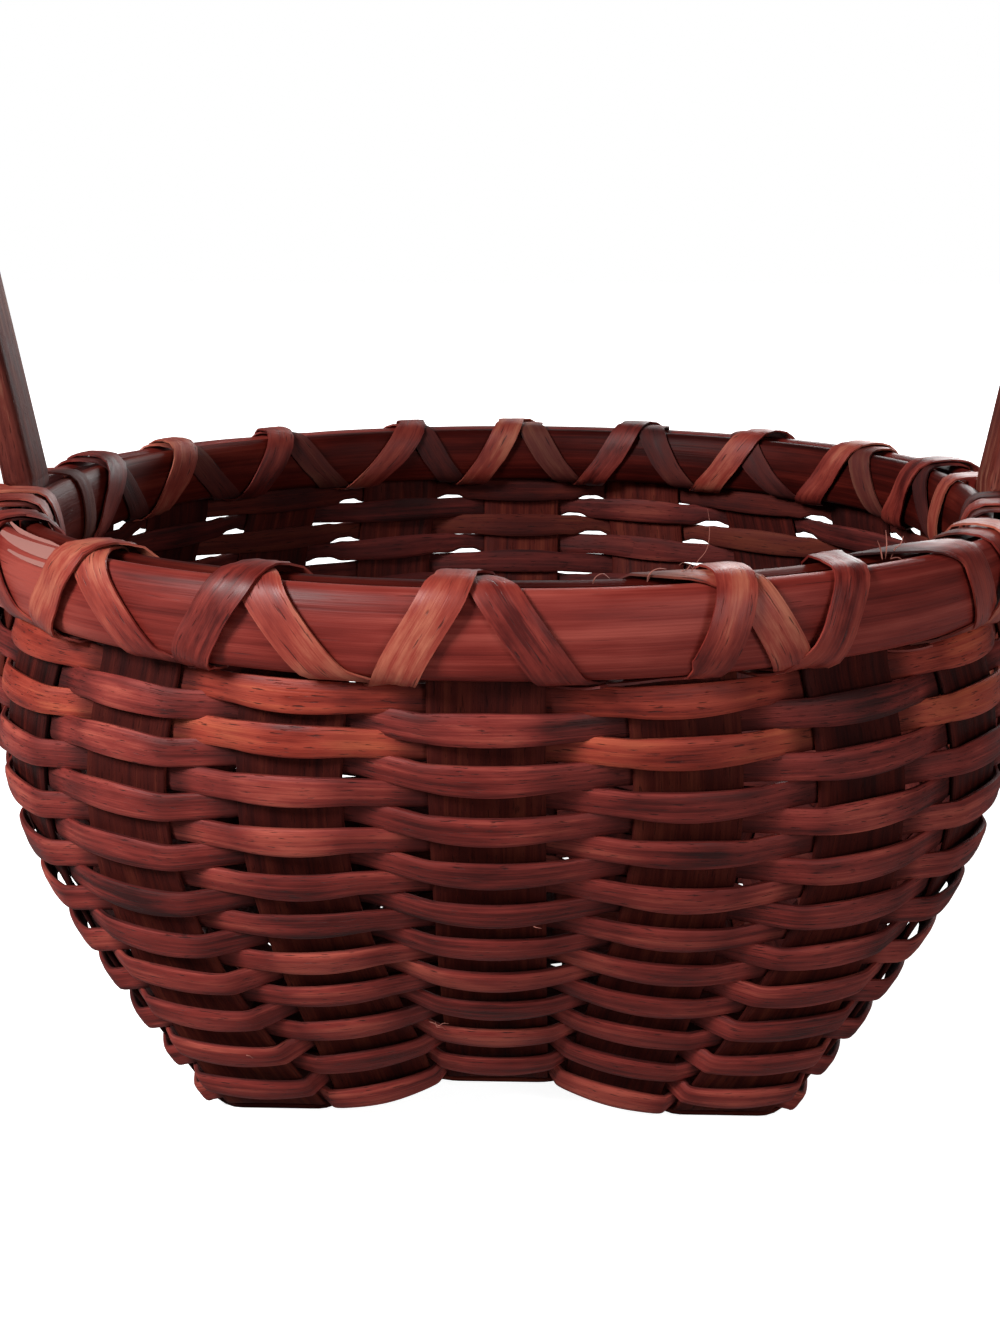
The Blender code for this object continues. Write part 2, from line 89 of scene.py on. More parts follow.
def runLengths(points, start=0):
    runs = [start]
    for a, b in zip(points, points[1:]):
        runs.append(runs[-1] + (b - a).length)
    return runs


def heading(points, index):
    # The way a run of points goes at one of them
    return (points[min(index + 1, len(points) - 1)] - points[max(index - 1, 0)]).normalized()


def soften(values, passes):
    # Evens out a run of values and holds its ends
    for _ in range(passes):
        inner = [(a + 2 * b + c) / 4 for a, b, c in zip(values, values[1:], values[2:])]
        values = values[:1] + inner + values[-1:]
    return values


def roundAxis(radius, angle, height):
    return Vector((radius * cos(angle), radius * sin(angle), height))


def kick(across):
    # 1 where the base is lifted all the way, 0 at the feet
    return clamp((layout["kickOuter"] - abs(across)) / (layout["kickOuter"] - layout["kickInner"]))


def wallHeight(climb, across):
    lift = layout["kickUp"] * kick(across) * (1 - climb)
    return layout["wallStart"] + lift + (layout["wallTop"] - layout["wallStart"]) * climb


def stakeEdges(side, place, climb):
    # Left and right edge of a stake, seen from outside
    share = min(climb, 1)
    middle = sin(share * pi / 2) ** layout["middlePower"]
    corner = 1 - (1 - share) ** layout["cornerPower"]
    flare = mix(middle, corner, abs(place / outerPlace) ** layout["cornerReach"])
    across = place * layout["pitch"]
    radius = mix(hypot(across, layout["foldHalf"]), layout["rimRadius"], flare)
    angle = mix(atan2(across, layout["foldHalf"]), place * stakeStep, flare)
    turn = place * stakeStep * (1 - (1 - share) ** layout["turnPower"])
    half = layout["splintWidth"] / 2
    low, high = wallHeight(climb, across - half), wallHeight(climb, across + half)
    levelHalf = sqrt(half ** 2 - ((high - low) / 2) ** 2)
    centre = Vector((radius * sin(angle), -radius * cos(angle), 0))
    along = Vector((cos(turn), sin(turn), 0)) * levelHalf
    spin = Matrix.Rotation(side * pi / 2, 3, "Z")
    left = spin @ (centre - along) + Vector((0, 0, low))
    right = spin @ (centre + along) + Vector((0, 0, high))
    reach = clamp((left.x + right.x) / 2 / layout["swellSpread"], -1, 1)
    swell = layout["swell"] * sin(pi * share ** layout["swellPower"])
    shift = Vector((reach * swell, 0, 0))
    return left + shift, right + shift


def measureStake():
    # Running length up a side's middle stake, without the swell
    points = []
    for climb in climbSamples:
        rise = sin(climb * pi / 2) ** layout["middlePower"]
        radius = mix(layout["foldHalf"], layout["rimRadius"], rise)
        points.append(Vector((radius, wallHeight(climb, 0))))
    return runLengths(points)


climbSamples = shares(layout["samples"]) + [1.0]
runSamples = measureStake()


def climbAt(level):
    # The height share at a share of the stake's running length; a little past the top is allowed
    run = level * runSamples[-1]
    upper = 1
    while runSamples[upper] < run and upper < len(runSamples) - 1:
        upper += 1
    share = (run - runSamples[upper - 1]) / (runSamples[upper] - runSamples[upper - 1])
    return mix(climbSamples[upper - 1], climbSamples[upper], share)


def stakeFrame(stake, level):
    # Both edges of a stake at a level, and how each climbs there
    side, number = divmod(stake % stakes, perSide)
    levels = (max(0, level - layout["levelStep"]), level, level + layout["levelStep"])
    below, edges, above = [stakeEdges(side, number - outerPlace, climbAt(at)) for at in levels]
    return edges, [high - low for low, high in zip(below, above)]


def onStake(frameAt, place, offset):
    # A point beside the stake, place from its middle, with the ways up and outward
    (left, right), climbs = frameAt
    across = (right - left).normalized()
    share = place / layout["splintWidth"] + 0.5
    climb = mix(climbs[0], climbs[1], share)
    outward = across.cross(climb).normalized()
    up = climb / climb.dot(outward.cross(across))
    return mix(left, right, share) + outward * offset, up, outward


def backShare(angle):
    # 1 at the back and 0 at the sides and front; the angle runs from the right side
    return smooth((sin(angle) - layout["backFrom"]) / layout["backSpread"])


# Building helpers: a grid is wrapped on rings of points, welded along its seam and capped
weldDistance = 1e-7
sharpAngle = radians(50)
ovalFace = (0.6, 0.3)  # the power that rounds an oval strip's faces: its least and what a round edge adds


def smoothPath(points, steps):
    # A soft curve through all of the control points
    path = []
    held = points[:1] + points + points[-1:]
    for a, b, c, d in zip(held, held[1:], held[2:], held[3:]):
        for t in shares(steps):
            bend = (2 * a - 5 * b + 4 * c - d) * t ** 2
            path.append(0.5 * (2 * b + (c - a) * t + bend + (3 * b - a - 3 * c + d) * t ** 3))
    return path + points[-1:]


def addObject(name, data):
    thing = bpy.data.objects.new(name, data)
    bpy.context.scene.collection.objects.link(thing)
    return thing


def makeMesh(name, bm):
    mesh = bpy.data.meshes.new(name)
    bm.to_mesh(mesh)
    bm.free()
    return mesh


def wrapGrid(name, rings, grain, paintedShade=None, tone=None):
    # rings: one loop of points per station; grain: its run in metres; tone: a value per station;
    # the shade values: per station, how much painted shade each point of the ring gets
    stations, around = len(rings), len(rings[0])
    bm = bmesh.new()
    uv = bm.loops.layers.uv.new("grain")
    # Painted shade is stored per point, and the material darkens the colour by it
    paintedShadeLayer = bm.verts.layers.float.new("paintedShade")
    toneLayer = bm.verts.layers.float.new("tone")
    bmesh.ops.create_grid(bm, x_segments=stations - 1, y_segments=around, size=0.5)
    middle = rings[stations // 2]
    girth = runLengths(middle + middle[:1])
    cell = {vert: (round((vert.co.x + 0.5) * (stations - 1)), round((vert.co.y + 0.5) * around))
            for vert in bm.verts}
    for face in bm.faces:
        for loop in face.loops:
            i, j = cell[loop.vert]
            loop[uv].uv = (grain[i], girth[j])
    for vert, (i, j) in cell.items():
        vert.co = rings[i][j % around]
        vert[paintedShadeLayer] = paintedShade[i][j % around] if paintedShade else 0
        vert[toneLayer] = tone[i] if tone else 0
    bmesh.ops.remove_doubles(bm, verts=bm.verts, dist=weldDistance)
    bmesh.ops.holes_fill(bm, edges=[edge for edge in bm.edges if edge.is_boundary], sides=0)
    bmesh.ops.recalc_face_normals(bm, faces=bm.faces)
    mesh = makeMesh(name, bm)
    mesh.shade_smooth()
    mesh.set_sharp_from_angle(angle=sharpAngle)
    piece = addObject(name, mesh)
    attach(piece, "root")
    return piece


def addPiece(node, finish, rings, grain, paintedShade, tone):
    # A wrapped piece with its finish, in the place of its solid
    piece = wrapGrid("visual_" + node, rings, grain, paintedShade, tone)
    piece.data.materials.append(materials[finish])
    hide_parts(node)


def ovalRing(point, across, outward, width, thickness, corners, flat):
    # A rounded strip section: flat is 1 for an ellipse, less for a flatter strip
    ring = []
    faceFlat = ovalFace[0] + ovalFace[1] * flat
    for index in range(corners):
        angle = tau * (index + 0.5) / corners
        c, s = cos(angle), sin(angle)
        ring.append(point + across * (width / 2 * copysign(abs(c) ** flat, c))
                    + outward * (thickness / 2 * copysign(abs(s) ** faceFlat, s)))
    return ring


# Materials
def hexColour(text):
    # sRGB hex to linear values
    values = [byte / 255 for byte in bytes.fromhex(text[1:])]
    return tuple(v / 12.92 if v <= 0.04045 else ((v + 0.055) / 1.055) ** 2.4 for v in values) + (1,)


def addNode(tree, kind, inputs=(), **settings):
    # An input takes a value, the socket that feeds it, or a node for its first output
    node = tree.nodes.new("ShaderNode" + kind)
    for key, value in settings.items():
        setattr(node, key, value)
    for key, value in (inputs.items() if isinstance(inputs, dict) else enumerate(inputs)):
        value = value.outputs[0] if isinstance(value, bpy.types.Node) else value
        if isinstance(value, bpy.types.NodeSocket):
            tree.links.new(value, node.inputs[key])
        else:
            node.inputs[key].default_value = value
    return node


def emptyTree(owner):
    # The emptied node tree of a material or of the world
    owner.use_nodes = True
    owner.node_tree.nodes.clear()
    return owner.node_tree


def stainedWood(name, look):
    # Wood strip under a red-brown stain: long fibres, blotches where the stain soaked in, short dark pores,
    # and painted shade, a near-black mixed in, wherever a strip dives behind its neighbour, lies inside or
    # low on the wall
    material = bpy.data.materials.new(name)
    tree = emptyTree(material)
    grain = addNode(tree, "UVMap", uv_map="grain")
    paintedShade = addNode(tree, "Attribute", attribute_name="paintedShade").outputs["Fac"]
    tone = addNode(tree, "Attribute", attribute_name="tone").outputs["Fac"]

    layers = []
    for layer, (detail, rough) in zip(("fibre", "band", "blotch", "pore"), look["noise"]):
        # Noise drawn out along the strip, with feature sizes in millimetres
        long, wide = look[layer]
        drawn = addNode(tree, "Mapping", {0: grain, "Scale": (1000 / long, 1000 / wide, 1)})
        noise = {0: drawn, "Scale": 1.0, "Detail": detail, "Roughness": rough}
        layers.append(addNode(tree, "TexNoise", noise))
    fibre, band, blotch, pore = layers

    def addUp(parts, amounts):
        # The sum of the parts, so much of each
        total = 0.0
        for part, share in zip(parts, amounts):
            total = addNode(tree, "Math", (part, share, total), operation="MULTIPLY_ADD")
        return total

    ramp = addNode(tree, "ValToRGB", (addUp((band, blotch, fibre, tone), look["stainShares"]),))
    stops = ramp.color_ramp.elements
    for place, text in look["colours"]:
        stops.new(place).color = hexColour(text)
    stops.remove(stops[-1])
    stops.remove(stops[0])
    poreRange = (pore, look["poreFrom"], look["poreFrom"] + look["poreEdge"], 0.0, look["poreDark"])
    poreMask = addNode(tree, "MapRange", poreRange, interpolation_type="SMOOTHSTEP")
    # Painted shade: the colour goes towards near-black, and the surface gets rougher, where the shade values
    # are high
    paintedShadeMask = addNode(tree, "Math", (paintedShade, look["paintedShadeDark"]), operation="MULTIPLY", use_clamp=True)
    colour = ramp.outputs[0]
    for mask, text in ((poreMask, look["poreColour"]), (paintedShadeMask, look["paintedShadeColour"])):
        colour = addNode(tree, "Mix", {0: mask, 6: colour, 7: hexColour(text)}, data_type="RGBA").outputs[2]

    relief = {"Height": addUp((fibre, band, poreMask), look["heightShares"]), "Strength": look["bump"],
              "Distance": look["bumpDepth"]}
    bump = addNode(tree, "Bump", relief)
    dull = addNode(tree, "MapRange", (blotch,) + look["blotchRange"] + look["rough"])
    rough = addNode(tree, "Math", (paintedShadeMask, look["deepRough"], dull), operation="MULTIPLY_ADD", use_clamp=True)
    shader = addNode(tree, "BsdfPrincipled", {"Base Color": colour, "Roughness": rough, "Normal": bump,
                                              "IOR": look["ior"], "Specular IOR Level": look["specular"]})
    addNode(tree, "OutputMaterial", (shader,))
    return material


# Grain sizes are length and width in millimetres; the finest are coarser than real, so that they show
weaverLook = {
    "fibre": (16, 0.28), "band": (34, 1.3), "blotch": (15, 5), "pore": (3.4, 0.33),
    "noise": ((3, 0.6), (4, 0.55), (3, 0.6), (2, 0.5)),  # the same four: detail and roughness of each
    "stainShares": (0.45, 0.35, 0.2, 0.12),  # bands, blotches, fibres and the strip's own tone
    "colours": ((0.34, "#310a09"), (0.44, "#5f1c18"), (0.54, "#7e2c26"), (0.67, "#a64c3e")),
    "poreFrom": 0.62, "poreEdge": 0.07, "poreDark": 0.8, "poreColour": "#240605",
    # How far the painted shade darkens, and its colour
    "paintedShadeDark": 0.95, "paintedShadeColour": "#1f0505",
    "heightShares": (0.6, 0.5, -0.8), "bump": 0.7, "bumpDepth": 0.18 * mm,  # fibres, bands and pores
    "blotchRange": (0.3, 0.7), "rough": (0.44, 0.66), "deepRough": 0.4, "ior": 1.5, "specular": 0.22,
}
brightLook = dict(
    weaverLook, colours=((0.34, "#55130d"), (0.44, "#7f281c"), (0.54, "#993a2a"), (0.68, "#b8583c")))
splintLook = dict(
    weaverLook, fibre=(26, 0.42), band=(60, 2), blotch=(24, 7),
    colours=((0.34, "#150403"), (0.44, "#340c09"), (0.56, "#4f1811"), (0.7, "#6f2f20")),
    bump=0.8, bumpDepth=0.2 * mm, rough=(0.5, 0.72), specular=0.1, poreDark=0.6)
rimLook = dict(
    weaverLook, fibre=(40, 0.5), band=(70, 2.4), blotch=(30, 6),
    colours=((0.34, "#360a08"), (0.45, "#5c1813"), (0.55, "#782720"), (0.69, "#984238")),
    pore=(12, 0.35), poreFrom=0.68, poreDark=0.55, bump=0.6, bumpDepth=0.22 * mm, rough=(0.4, 0.58),
    specular=0.2)
# The inner hoop's copy of the rim, with painted shade: darker colours, and less shine
innerRimLook = dict(
    rimLook, colours=((0.34, "#1c0504"), (0.45, "#350a07"), (0.55, "#4c140e"), (0.69, "#66251b")),
    specular=0.06)
lashingLook = dict(
    weaverLook, fibre=(20, 0.35), band=(22, 3), blotch=(8, 3),
    colours=((0.34, "#4a100d"), (0.44, "#74251e"), (0.55, "#91392d"), (0.7, "#b56850")),
    bump=0.5, pore=(5.5, 0.55), poreFrom=0.63, poreDark=0.75, rough=(0.36, 0.56), specular=0.28)
handleLook = dict(
    splintLook, fibre=(34, 0.5), band=(60, 2.2), blotch=(9, 3.2),
    colours=((0.32, "#2c0b09"), (0.44, "#4c1913"), (0.55, "#642920"), (0.68, "#8c5d49")),
    rough=(0.5, 0.66), specular=0.16)

materials = {key: stainedWood(name, look) for key, name, look in (
    ("splint", "ash_splint_planed_and_stained", splintLook),
    ("weaver", "flat_oval_weaver_split_and_stained", weaverLook),
    ("bright_weaver", "flat_oval_weaver_thinly_stained", brightLook),
    ("rim", "half_round_hoop_shaved_and_stained", rimLook),
    ("rim_in_painted_shade", "half_round_hoop_shaved_and_stained_in_painted_shade", innerRimLook),
    ("lashing", "lashing_strip_soaked_and_stained", lashingLook),
    ("handle", "bent_handle_shaved_and_stained", handleLook),
)}
print("materials:", len(materials))


# Splints: up one wall, over and under across the base, and up the opposite wall
splint = {
    "levels": 84, "soften": 2, "cup": 0.12 * mm, "edge": 0.25 * mm,
    "across": (-1, -0.97, -0.7, -0.35, 0, 0.35, 0.7, 0.97, 1),
    # In the base: the step along it, how far it runs on past the last crossing, and how it steps over
    "matStep": 1.3 * mm, "matEnd": 9.5 * mm, "matEdge": 1 * mm,
    "crossHalf": 9.2 * mm, "crossEase": 1.8 * mm,
    # The upright top between the hoops
    "topHeights": (96 * mm, 101 * mm, 106.5 * mm),
    # Painted shade: heavy at the foot of the wall outside, where the rows above shade the stakes, fading
    # towards the top, and even on the inside
    "lowShade": 0.55, "highShade": 0.05, "shadeRise": 1.1, "insideShade": 0.45,
    "grainStart": 4, "toneSwing": 0.6, "toneWave": 21, "lengthwiseSeed": 11, "crosswiseSeed": 31,
}


def matPairs(crosswise, place):
    # Both edges of a splint across the base
    pairs = []
    pitch = layout["pitch"]
    last = outerPlace * pitch + splint["matEnd"]
    count = round(2 * last / splint["matStep"])
    for index in range(count + 1):
        along = -last + 2 * last * index / count
        other = clamp(round(along / pitch), -outerPlace, outerPlace)
        lift = layout["crossStep"] * (1 if ((place + other) % 2 == 0) == crosswise else -1)
        if abs(along) < outerPlace * pitch + splint["matEdge"]:
            fromCrossing = abs(along - other * pitch)
            lift *= 1 - smooth((fromCrossing - splint["crossHalf"]) / splint["crossEase"])
        pair = []
        for edge in (-0.5, 0.5):
            across = place * pitch + edge * layout["splintWidth"]
            x, y = (across, along) if crosswise else (along, across)
            z = layout["footHeight"] + splint["cup"] + layout["kickUp"] * (kick(x) + kick(y)) + lift
            pair.append(Vector((x, y, z)))
        pairs.append(pair)
    return pairs


def wallPairs(side, place):
    # Both edges of a splint up a wall; the places on the far two walls are counted the other way
    far, levels = side > 1, splint["levels"]
    at = -place if far else place
    pairs = [stakeEdges(side, at, climbAt(index / levels)) for index in range(levels + 1)]
    top = pairs[-1]
    pairs += [[Vector((*edge.xy, height)) for edge in top] for height in splint["topHeights"]]
    return [pair[::-1] for pair in pairs] if far else pairs


def addSplint(node, crosswise, place, seed):
    lowWall, highWall = [wallPairs(side, place) for side in ((0, 2) if crosswise else (3, 1))]
    pairs = lowWall[::-1] + matPairs(crosswise, place) + highWall
    lefts, rights = [soften([pair[edge] for pair in pairs], splint["soften"]) for edge in (0, 1)]
    middles = [(left + right) / 2 for left, right in zip(lefts, rights)]
    runs = runLengths(middles, random.Random(seed).uniform(0, splint["grainStart"]))
    rings, tone, paintedShade = [], [], []
    steps = splint["across"]
    for index, middle in enumerate(middles):
        across = (rights[index] - lefts[index]) / 2
        outward = across.normalized().cross(heading(middles, index)).normalized()
        ring = []
        for face, order in ((1, steps), (-1, steps[::-1])):
            for share in order:
                half = layout["splintThickness"] / 2 - (splint["edge"] if abs(share) == 1 else 0)
                cup = splint["cup"] * (1 - share ** 2)
                ring.append(middle + across * share + outward * (cup + face * half))
        rings.append(ring)
        # Painted shade: darker low on the wall outside, and on the inner face
        climb = clamp(middle.z / layout["wallTop"])
        outside = mix(splint["lowShade"], splint["highShade"], smooth(climb * splint["shadeRise"]))
        paintedShade.append([outside] * len(steps) + [splint["insideShade"]] * len(steps))
        tone.append(splint["toneSwing"] * sin(runs[index] * splint["toneWave"] + seed))
    addPiece(node, "splint", rings, runs, paintedShade, tone)


for place in range(-outerPlace, outerPlace + 1):
    number = place + outerPlace + 1
    addSplint(f"splint_lengthwise_{number}", False, place, splint["lengthwiseSeed"] + place)
    addSplint(f"splint_crosswise_{number}", True, place, splint["crosswiseSeed"] + place)
print("splints done")


# Weavers: one flat-oval strip to a row, over one stake and under the next
weaver = {
    "width": 5.5 * mm, "thickness": 1.5 * mm, "flat": 0.55, "corners": 12, "steps": 3, "soften": 5,
    # Control points on a stake in mm from its middle, how far the strip stands off, and its ends' width
    "places": (-9.4, -6.5, -3.2, 0, 3.2, 6.5, 9.4), "offset": 1.34 * mm, "bulge": 1 * mm,
    "innerBulge": 0.5 * mm, "wander": 0.3 * mm, "tail": 2.1 * mm, "ends": 0.87,
    # The gaps between stakes, and the slits that slack rows leave in the back wall
    "gapPoints": 5, "slitPoints": 3, "slitWide": 0.67, "slitShift": 0.35 * mm, "slitFrom": 14,
    "slitOdds": 0.75, "slitStakes": range(8, 17),
    "lap": 13 * mm, "lapShift": 0.32 * mm, "lapThin": 0.3,
    # How far each stake's rows are packed upwards, in rows, and how far the back ones are raised
    "packed": {0: 0.6, 1: 0.75, 2: 0.45}, "packedElse": 0.35, "packTop": 0.15,
    "packFoot": 0.3, "backRaise": 0.68,
    # Painted shade: where a strip dives behind a stake, towards the ends of a pass, on its inner face, and
    # more on the inner face low in the basket; the bright rows get less inside
    "outsideShade": 0.7, "seenFrom": 0.1, "seenSpan": 0.9, "edgeShade": 0.2, "edgePower": 3,
    "insideShade": 0.5, "brightInsideShade": 0.78, "deepShade": 0.3,
    "brightRows": (19, 21), "rowTone": (-0.5, 0.5), "grainStep": 10, "seed": 500,
}


def addWeaver(row):
    rng = random.Random(weaver["seed"] + row)
    finish = "bright_weaver" if row in weaver["brightRows"] else "weaver"
    inside = weaver["insideShade"] if finish == "weaver" else weaver["brightInsideShade"]
    rows = layout["rows"]
    rowLevel = (row - 0.5) / rows
    pack = min(1, (1 - rowLevel) / weaver["packTop"]) * min(1, rowLevel / weaver["packFoot"]) / rows
    lapStake = (perSide * row + 1) % stakes
    controls, ups, marks = [], [], []
    passTones = [rng.uniform(-1, 1) for _ in range(stakes)]
    passWander = [rng.uniform(-1, 1) * weaver["wander"] for _ in range(stakes)]
    rowTone = rng.uniform(*weaver["rowTone"])
    parts = weaver["gapPoints"] + 1
    lapReach, reach = weaver["places"][-2:]
    for step in range(stakes + 1):
        stake = (lapStake + step) % stakes
        level = rowLevel + pack * weaver["packed"].get(stake, weaver["packedElse"])
        level += weaver["backRaise"] * backShare((stake - rightStake) * stakeStep) * rowLevel ** 2 / rows
        halfPitch = mix(layout["pitch"], tau * layout["rimRadius"] / stakes, level) / 2 / mm
        frameAt = stakeFrame(stake, level)
        depth = 1 if (stake + row) % 2 == 0 else -1  # over the stake, or under it
        offset, bulge = weaver["offset"], weaver["bulge"]
        if depth < 0:
            tailHere = stake in handleStakes and level > layout["tailLevel"] - 1 / rows
            offset, bulge = -offset - (weaver["tail"] if tailHere else 0), -weaver["innerBulge"]
        places = weaver["places"][1 if step == 0 else 0:]
        for placeMm in places[:-1] if step == stakes else places:
            share = placeMm / reach
            belly = 1 - share ** 2
            away = offset + bulge * belly
            lapShare = smooth((placeMm + lapReach) / (2 * lapReach))
            if step == 0:
                away += weaver["lapShift"] * (1 - lapShare)
            if step == stakes:
                away -= weaver["lapShift"] * lapShare
            point, up = onStake(frameAt, placeMm * mm, away)[:2]
            upward = up.normalized()
            point += upward * (passWander[stake] * belly)
            wide = mix(weaver["ends"], 1, cos(pi / 2 * placeMm / halfPitch) ** 2)
            if placeMm == -reach:
                # Straight across the gap from the last stake; a slack strip leaves a slit by a stake
                before, beforeUp = controls[-1], ups[-1]
                slack = row >= weaver["slitFrom"] and stake in weaver["slitStakes"]
                slack = slack and rng.random() < weaver["slitOdds"]
                first = 1 if (row + stake) % 2 else parts - weaver["slitPoints"]
                for part in range(1, parts):
                    slit = slack and first <= part < first + weaver["slitPoints"]
                    slip = upward * (weaver["slitShift"] if slit else 0)
                    controls.append(mix(before, point, part / parts) + slip)
                    ups.append(mix(beforeUp, up, part / parts))
                    gapWide = weaver["slitWide"] if slit else weaver["ends"]
                    marks.append(Vector((mix(-depth, depth, part / parts), 1, rowTone, gapWide)))
                wide = weaver["ends"]
            controls.append(point)
            ups.append(up)
            edge = abs(share) ** weaver["edgePower"]
            marks.append(Vector((depth, edge, passTones[stake] * belly + rowTone, wide)))
    points, ups, marks = [smoothPath(values, weaver["steps"]) for values in (controls, ups, marks)]
    points = soften(points, weaver["soften"])
    runs = runLengths(points, weaver["grainStep"] * row)
    rings, paintedShade, tone = [], [], []
    for index, point in enumerate(points):
        tangent = heading(points, index)
        outward = tangent.cross(ups[index]).normalized()
        across = outward.cross(tangent).normalized()
        fromEnd = min(runs[index] - runs[0], runs[-1] - runs[index])
        thin = mix(weaver["lapThin"], 1, smooth(fromEnd / weaver["lap"]))
        depth, edge, passTone, wide = marks[index]
        rings.append(ovalRing(point, across, outward, weaver["width"] * wide, weaver["thickness"] * thin,
                              weaver["corners"], weaver["flat"]))
        # Painted shade for each point of the ring: dark where the strip is hidden behind a stake, towards
        # the pass's ends, and on the inner face, more so low in the basket
        values = []
        for corner in range(weaver["corners"]):
            faces = sin(tau * (corner + 0.5) / weaver["corners"])  # 1 on the outer face, -1 on the inner
            seen = depth * copysign(1, faces)
            value = weaver["outsideShade"] * smooth((weaver["seenFrom"] - seen) / weaver["seenSpan"])
            value += weaver["edgeShade"] * edge * max(0, seen)
            if faces < 0:
                value = max(value, inside + weaver["deepShade"] * (1 - rowLevel))
            values.append(min(1, value))
        paintedShade.append(values)
        tone.append(passTone)
    addPiece(f"weaver_row_{row:02d}", finish, rings, runs, paintedShade, tone)


for row in range(1, layout["rows"] + 1):
    addWeaver(row)
print("weavers done")


# Rims: two shaved half-round hoops that clamp the stakes, each joined by a long scarf lap
rim = {
    "height": 14 * mm, "thickness": 4.5 * mm, "bottom": 94 * mm, "outer": 95.55 * mm, "inner": 93.5 * mm,
    "lap": 35 * mm, "tip": 0.8 * mm, "gap": 0.3 * mm, "gapRise": 4, "steps": 240,
    "bulge": 2.3 * mm, "bulgeFrom": radians(30), "bulgeEase": radians(24), "backLift": 1.8 * mm,
    "wave": 0.12 * mm, "waveRuns": (120, 37), "toneSwing": 0.5, "toneWave": 17,
    # A painted highlight: the outer hoop's tone is raised near one angle at the left
    "highlightAngle": radians(-140), "highlightSpread": radians(11), "highlightTone": 1.7,
    # The section: share of the thickness from the flat side, share of the half height there
    "profile": (
        (0, 0.9), (0.18, 0.97), (0.42, 1), (0.62, 0.95), (0.78, 0.82), (0.9, 0.62), (0.97, 0.36), (1, 0.12)),
}
rimHalf = rim["height"] / 2
rimMiddle = rim["bottom"] + rimHalf


def hoopHalf(depth):
    # Half height of the half-round section at a depth from its flat side
    share = clamp(depth / rim["thickness"])
    for (a, low), (b, high) in zip(rim["profile"], rim["profile"][1:]):
        if a <= share <= b:
            return mix(low, high, (share - a) / (b - a)) * rimHalf


def bulgeAt(angle):
    # Inward swell of the inner hoop over the handle's neck
    away = abs((angle + pi / 2) % pi - pi / 2)
    return rim["bulge"] * smooth((rim["bulgeFrom"] - away) / rim["bulgeEase"])


def hoopRing(angle, inmost, outmost, inner, wave):
    bottom, top = [], []
    for share, _ in rim["profile"]:
        depth = mix(inmost, outmost, share)
        radius = rim["inner"] - bulgeAt(angle) - depth if inner else rim["outer"] + depth
        half = hoopHalf(depth)
        low = rimMiddle - half + rim["backLift"] * backShare(angle) * half / rimHalf
        bottom.append(roundAxis(radius + wave, angle, low))
        top.append(roundAxis(radius + wave, angle, rimMiddle + half))
    return bottom + top[::-1]


def addRim(node, inner, lapTurn, seed):
    base = rim["inner"] if inner else rim["outer"]
    around, lap, thickness = tau * base, rim["lap"], rim["thickness"]
    short, long = rim["waveRuns"]
    rings, runs, tone = [], [], []
    for index in range(rim["steps"] + 1):
        run = (around + lap) * index / rim["steps"]
        low = mix(thickness - rim["tip"], 0, smooth(run / lap))
        share = smooth((run - around) / lap)
        high = mix(thickness, rim["tip"], share) - rim["gap"] * smooth(share * rim["gapRise"])
        angle = (run - lap / 2) / base + lapTurn * tau
        wave = rim["wave"] * sin(run * short + seed) * sin(run * long + 2 * seed)
        rings.append(hoopRing(angle, low, high, inner, wave))
        runs.append(run + seed)
        # Painted highlight on the outer hoop, strongest at its angle
        away = (angle - rim["highlightAngle"] + pi) % tau - pi
        paintedHighlight = 0 if inner else rim["highlightTone"] * exp(-(away / rim["highlightSpread"]) ** 2)
        tone.append(rim["toneSwing"] * sin(run * rim["toneWave"] + seed) + paintedHighlight)
    # The inner hoop takes the rim's copy with painted shade
    addPiece(node, "rim_in_painted_shade" if inner else "rim", rings, runs, None, tone)


addRim("rim_outer", inner=False, lapTurn=0.35, seed=3.0)
addRim("rim_inner", inner=True, lapTurn=0.79, seed=7.0)
print("rims done")


# Lashing: one strip wound each way round both hoops, crossing over every stake
lashing = {
    "width": 6.3 * mm, "thickness": 0.6 * mm, "across": 7, "edgeEase": 0.12 * mm, "soften": 2,
    "steps": (14, 6, 12, 5),  # up the outer face, over the top, down inside and underneath
    # Where the strips run: over and under the gap between the hoops, and on the profile's rounded part
    "crown": 94.6 * mm, "overCrown": 0.25 * mm, "underCrown": 0.1 * mm, "crownEase": 1 * mm,
    "radius": 99 * mm, "profileFrom": 0.4,
    # How far each strip lies off the hoops; the upper one comes down where nothing runs below it
    "nearBackward": 0.3 * mm, "nearForward": 1.15 * mm, "nearFree": 0.35 * mm, "nearSoften": 3,
    "crossReach": 7.5 * mm, "crossEase": 3 * mm, "proud": 0.15 * mm, "proudReach": 1.35,
    "footTight": 0.2, "footReach": 4 * mm, "footShift": 2.87 * mm, "handleStep": 0.84,
    "kneeInset": 2 * mm, "kneeReach": 2.4 * mm, "kneeNarrow": 0.35,
    "footLoose": 0.6, "topLoose": (-2.2, 2.2), "bendLoose": (0.75, 1.25),
    # Painted shade on the strips' inside runs, heavier on the backward strip, which lies under the other
    "insideShade": {1: 0.25, -1: 0.8}, "toneSwing": 0.8, "toneWave": 90,
}
